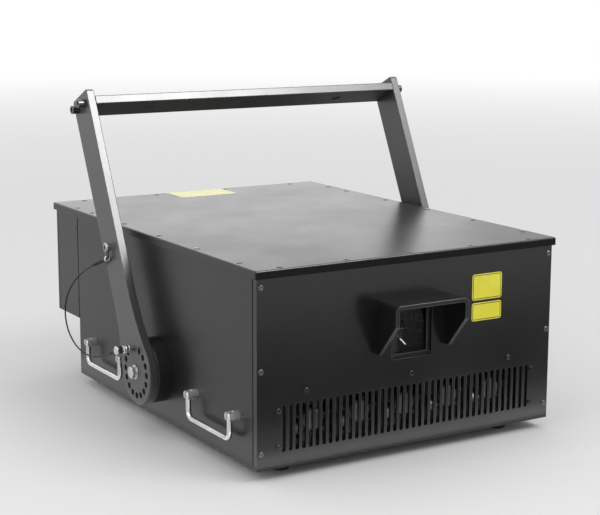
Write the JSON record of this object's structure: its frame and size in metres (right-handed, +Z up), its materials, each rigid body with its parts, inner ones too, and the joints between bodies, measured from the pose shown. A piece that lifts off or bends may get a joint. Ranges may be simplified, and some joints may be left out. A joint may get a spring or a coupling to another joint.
{
  "type": "laser show projector",
  "caption": "Black sheet metal laser show projector with a hooded beam window, fans behind a row of vent slots, drop handles and a flat bar tilting yoke.",
  "frame": {"origin": "floor under the middle of the projector, tether and lock pin left out", "axes": "+Z up, the beam leaves along -Y, the yoke's pivot axis lies along X"},
  "size_m": [0.4849, 0.5764, 0.3901],
  "materials": {
    "black_paint": "semi-gloss black powder coat",
    "yoke_paint": "satin dark grey paint on flat bar",
    "foot_rubber": "matt black rubber",
    "dark_screws": "blackened steel",
    "window_glass": "clear coated window",
    "black_plastic": "moulded black plastic",
    "bright_steel": "bright plated steel",
    "rope_steel": "galvanised wire rope",
    "bare_aluminium": "machined",
    "scan_mirror": "front silvered",
    "board_green": "solder mask"
  },
  "bodies": {
    "chassis": {"aperture_bezel": "black_paint", "aperture_hood": "black_paint", "aperture_window": "window_glass", "base_plate": "black_paint", "beam_combiner": "bare_aluminium", "blue_laser": "bare_aluminium", "bracket_screws": "dark_screws", "control_board": "board_green", "data_sockets": "rope_steel", "deck_pillars": "bare_aluminium", "fan_bracket": "black_paint", "fan_frames": "black_plastic", "front_panel": "black_paint", "galvo_block": "bare_aluminium", "green_laser": "bare_aluminium", "handle_posts": "bright_steel", "housing_screws": "dark_screws", "key_switch": "bright_steel", "left_pivot_hub": "yoke_paint", "left_side_panel": "black_paint", "lid": "black_paint", "optical_deck": "bare_aluminium", "pivot_bolts": "bright_steel", "pivot_washers": "bright_steel", "power_inlet": "black_plastic", "power_supply": "bare_aluminium", "rear_housing": "black_paint", "rear_panel": "black_paint", "red_laser": "bare_aluminium", "right_pivot_hub": "yoke_paint", "right_side_panel": "black_paint", "rubber_feet": "foot_rubber", "signal_sockets": "black_plastic", "switch_frame": "black_plastic", "x_galvo": "bare_aluminium", "y_galvo": "bare_aluminium"},
    "yoke": {"left_arm": "yoke_paint", "right_arm": "yoke_paint", "crossbar": "yoke_paint", "crossbar_screws": "dark_screws", "tether_screw": "bright_steel", "tether_link": "dark_screws", "tether": "rope_steel", "tether_upper_eye": "rope_steel"},
    "pin": {"lock_pin": "bright_steel", "tether_lower_eye": "rope_steel"},
    "rotor_1": {"fan_rotor_1": "black_plastic"},
    "rotor_2": {"fan_rotor_2": "black_plastic"},
    "rotor_3": {"fan_rotor_3": "black_plastic"},
    "rotor_4": {"fan_rotor_4": "black_plastic"},
    "rotor_5": {"fan_rotor_5": "black_plastic"},
    "x_scanner": {"x_mirror": "scan_mirror"},
    "y_scanner": {"y_mirror": "scan_mirror"},
    "rocker": {"power_rocker": "black_plastic"},
    "key": {"key_barrel": "bright_steel"},
    "front_left_handle": {"front_left_bail": "bright_steel"},
    "front_right_handle": {"front_right_bail": "bright_steel"},
    "rear_left_handle": {"rear_left_bail": "bright_steel"},
    "rear_right_handle": {"rear_right_bail": "bright_steel"}
  },
  "joints": [
    {"name": "yoke_tilt", "type": "hinge", "parent": "chassis", "child": "yoke", "pos_m": [0, -0.01585, 0.0719], "axis": [1, 0, 0], "range_deg": [-22.5, 67.5]},
    {"name": "lock_pin_pull", "type": "slide", "parent": "yoke", "child": "pin", "axis": [1, 0, 0], "range_m": [-0.006, 0.0062], "deforming": ["tether"]},
    {"name": "front_left_handle_swing", "type": "hinge", "parent": "chassis", "child": "front_left_handle", "pos_m": [-0.2069, -0.16075, 0.0654], "axis": [0, 1, 0], "range_deg": [0, 90]},
    {"name": "front_right_handle_swing", "type": "hinge", "parent": "chassis", "child": "front_right_handle", "pos_m": [0.2069, -0.16075, 0.0654], "axis": [0, -1, 0], "range_deg": [0, 90]},
    {"name": "rear_left_handle_swing", "type": "hinge", "parent": "chassis", "child": "rear_left_handle", "pos_m": [-0.2069, 0.11775, 0.0654], "axis": [0, 1, 0], "range_deg": [0, 90]},
    {"name": "rear_right_handle_swing", "type": "hinge", "parent": "chassis", "child": "rear_right_handle", "pos_m": [0.2069, 0.11775, 0.0654], "axis": [0, -1, 0], "range_deg": [0, 90]},
    {"name": "fan_1_spin", "type": "hinge", "parent": "chassis", "child": "rotor_1", "pos_m": [-0.12, -0.22925, 0.0558], "axis": [0, 1, 0], "continuous": true},
    {"name": "fan_2_spin", "type": "hinge", "parent": "chassis", "child": "rotor_2", "pos_m": [-0.06, -0.22925, 0.0558], "axis": [0, 1, 0], "continuous": true},
    {"name": "fan_3_spin", "type": "hinge", "parent": "chassis", "child": "rotor_3", "pos_m": [0, -0.22925, 0.0558], "axis": [0, 1, 0], "continuous": true},
    {"name": "fan_4_spin", "type": "hinge", "parent": "chassis", "child": "rotor_4", "pos_m": [0.06, -0.22925, 0.0558], "axis": [0, 1, 0], "continuous": true},
    {"name": "fan_5_spin", "type": "hinge", "parent": "chassis", "child": "rotor_5", "pos_m": [0.12, -0.22925, 0.0558], "axis": [0, 1, 0], "continuous": true},
    {"name": "x_scan", "type": "hinge", "parent": "chassis", "child": "x_scanner", "pos_m": [0, -0.22325, 0.126], "axis": [0, 1, 0], "range_deg": [-15, 15]},
    {"name": "y_scan", "type": "hinge", "parent": "chassis", "child": "y_scanner", "pos_m": [0, -0.22325, 0.143], "axis": [1, 0, 0], "range_deg": [-15, 15]},
    {"name": "rocker_tip", "type": "hinge", "parent": "chassis", "child": "rocker", "pos_m": [0.08307, 0.21575, 0.053], "axis": [1, 0, 0], "range_deg": [0, 17]},
    {"name": "key_turn", "type": "hinge", "parent": "chassis", "child": "key", "pos_m": [0.12753, 0.21575, 0.053], "axis": [0, 1, 0], "range_deg": [0, 90]}
  ]
}
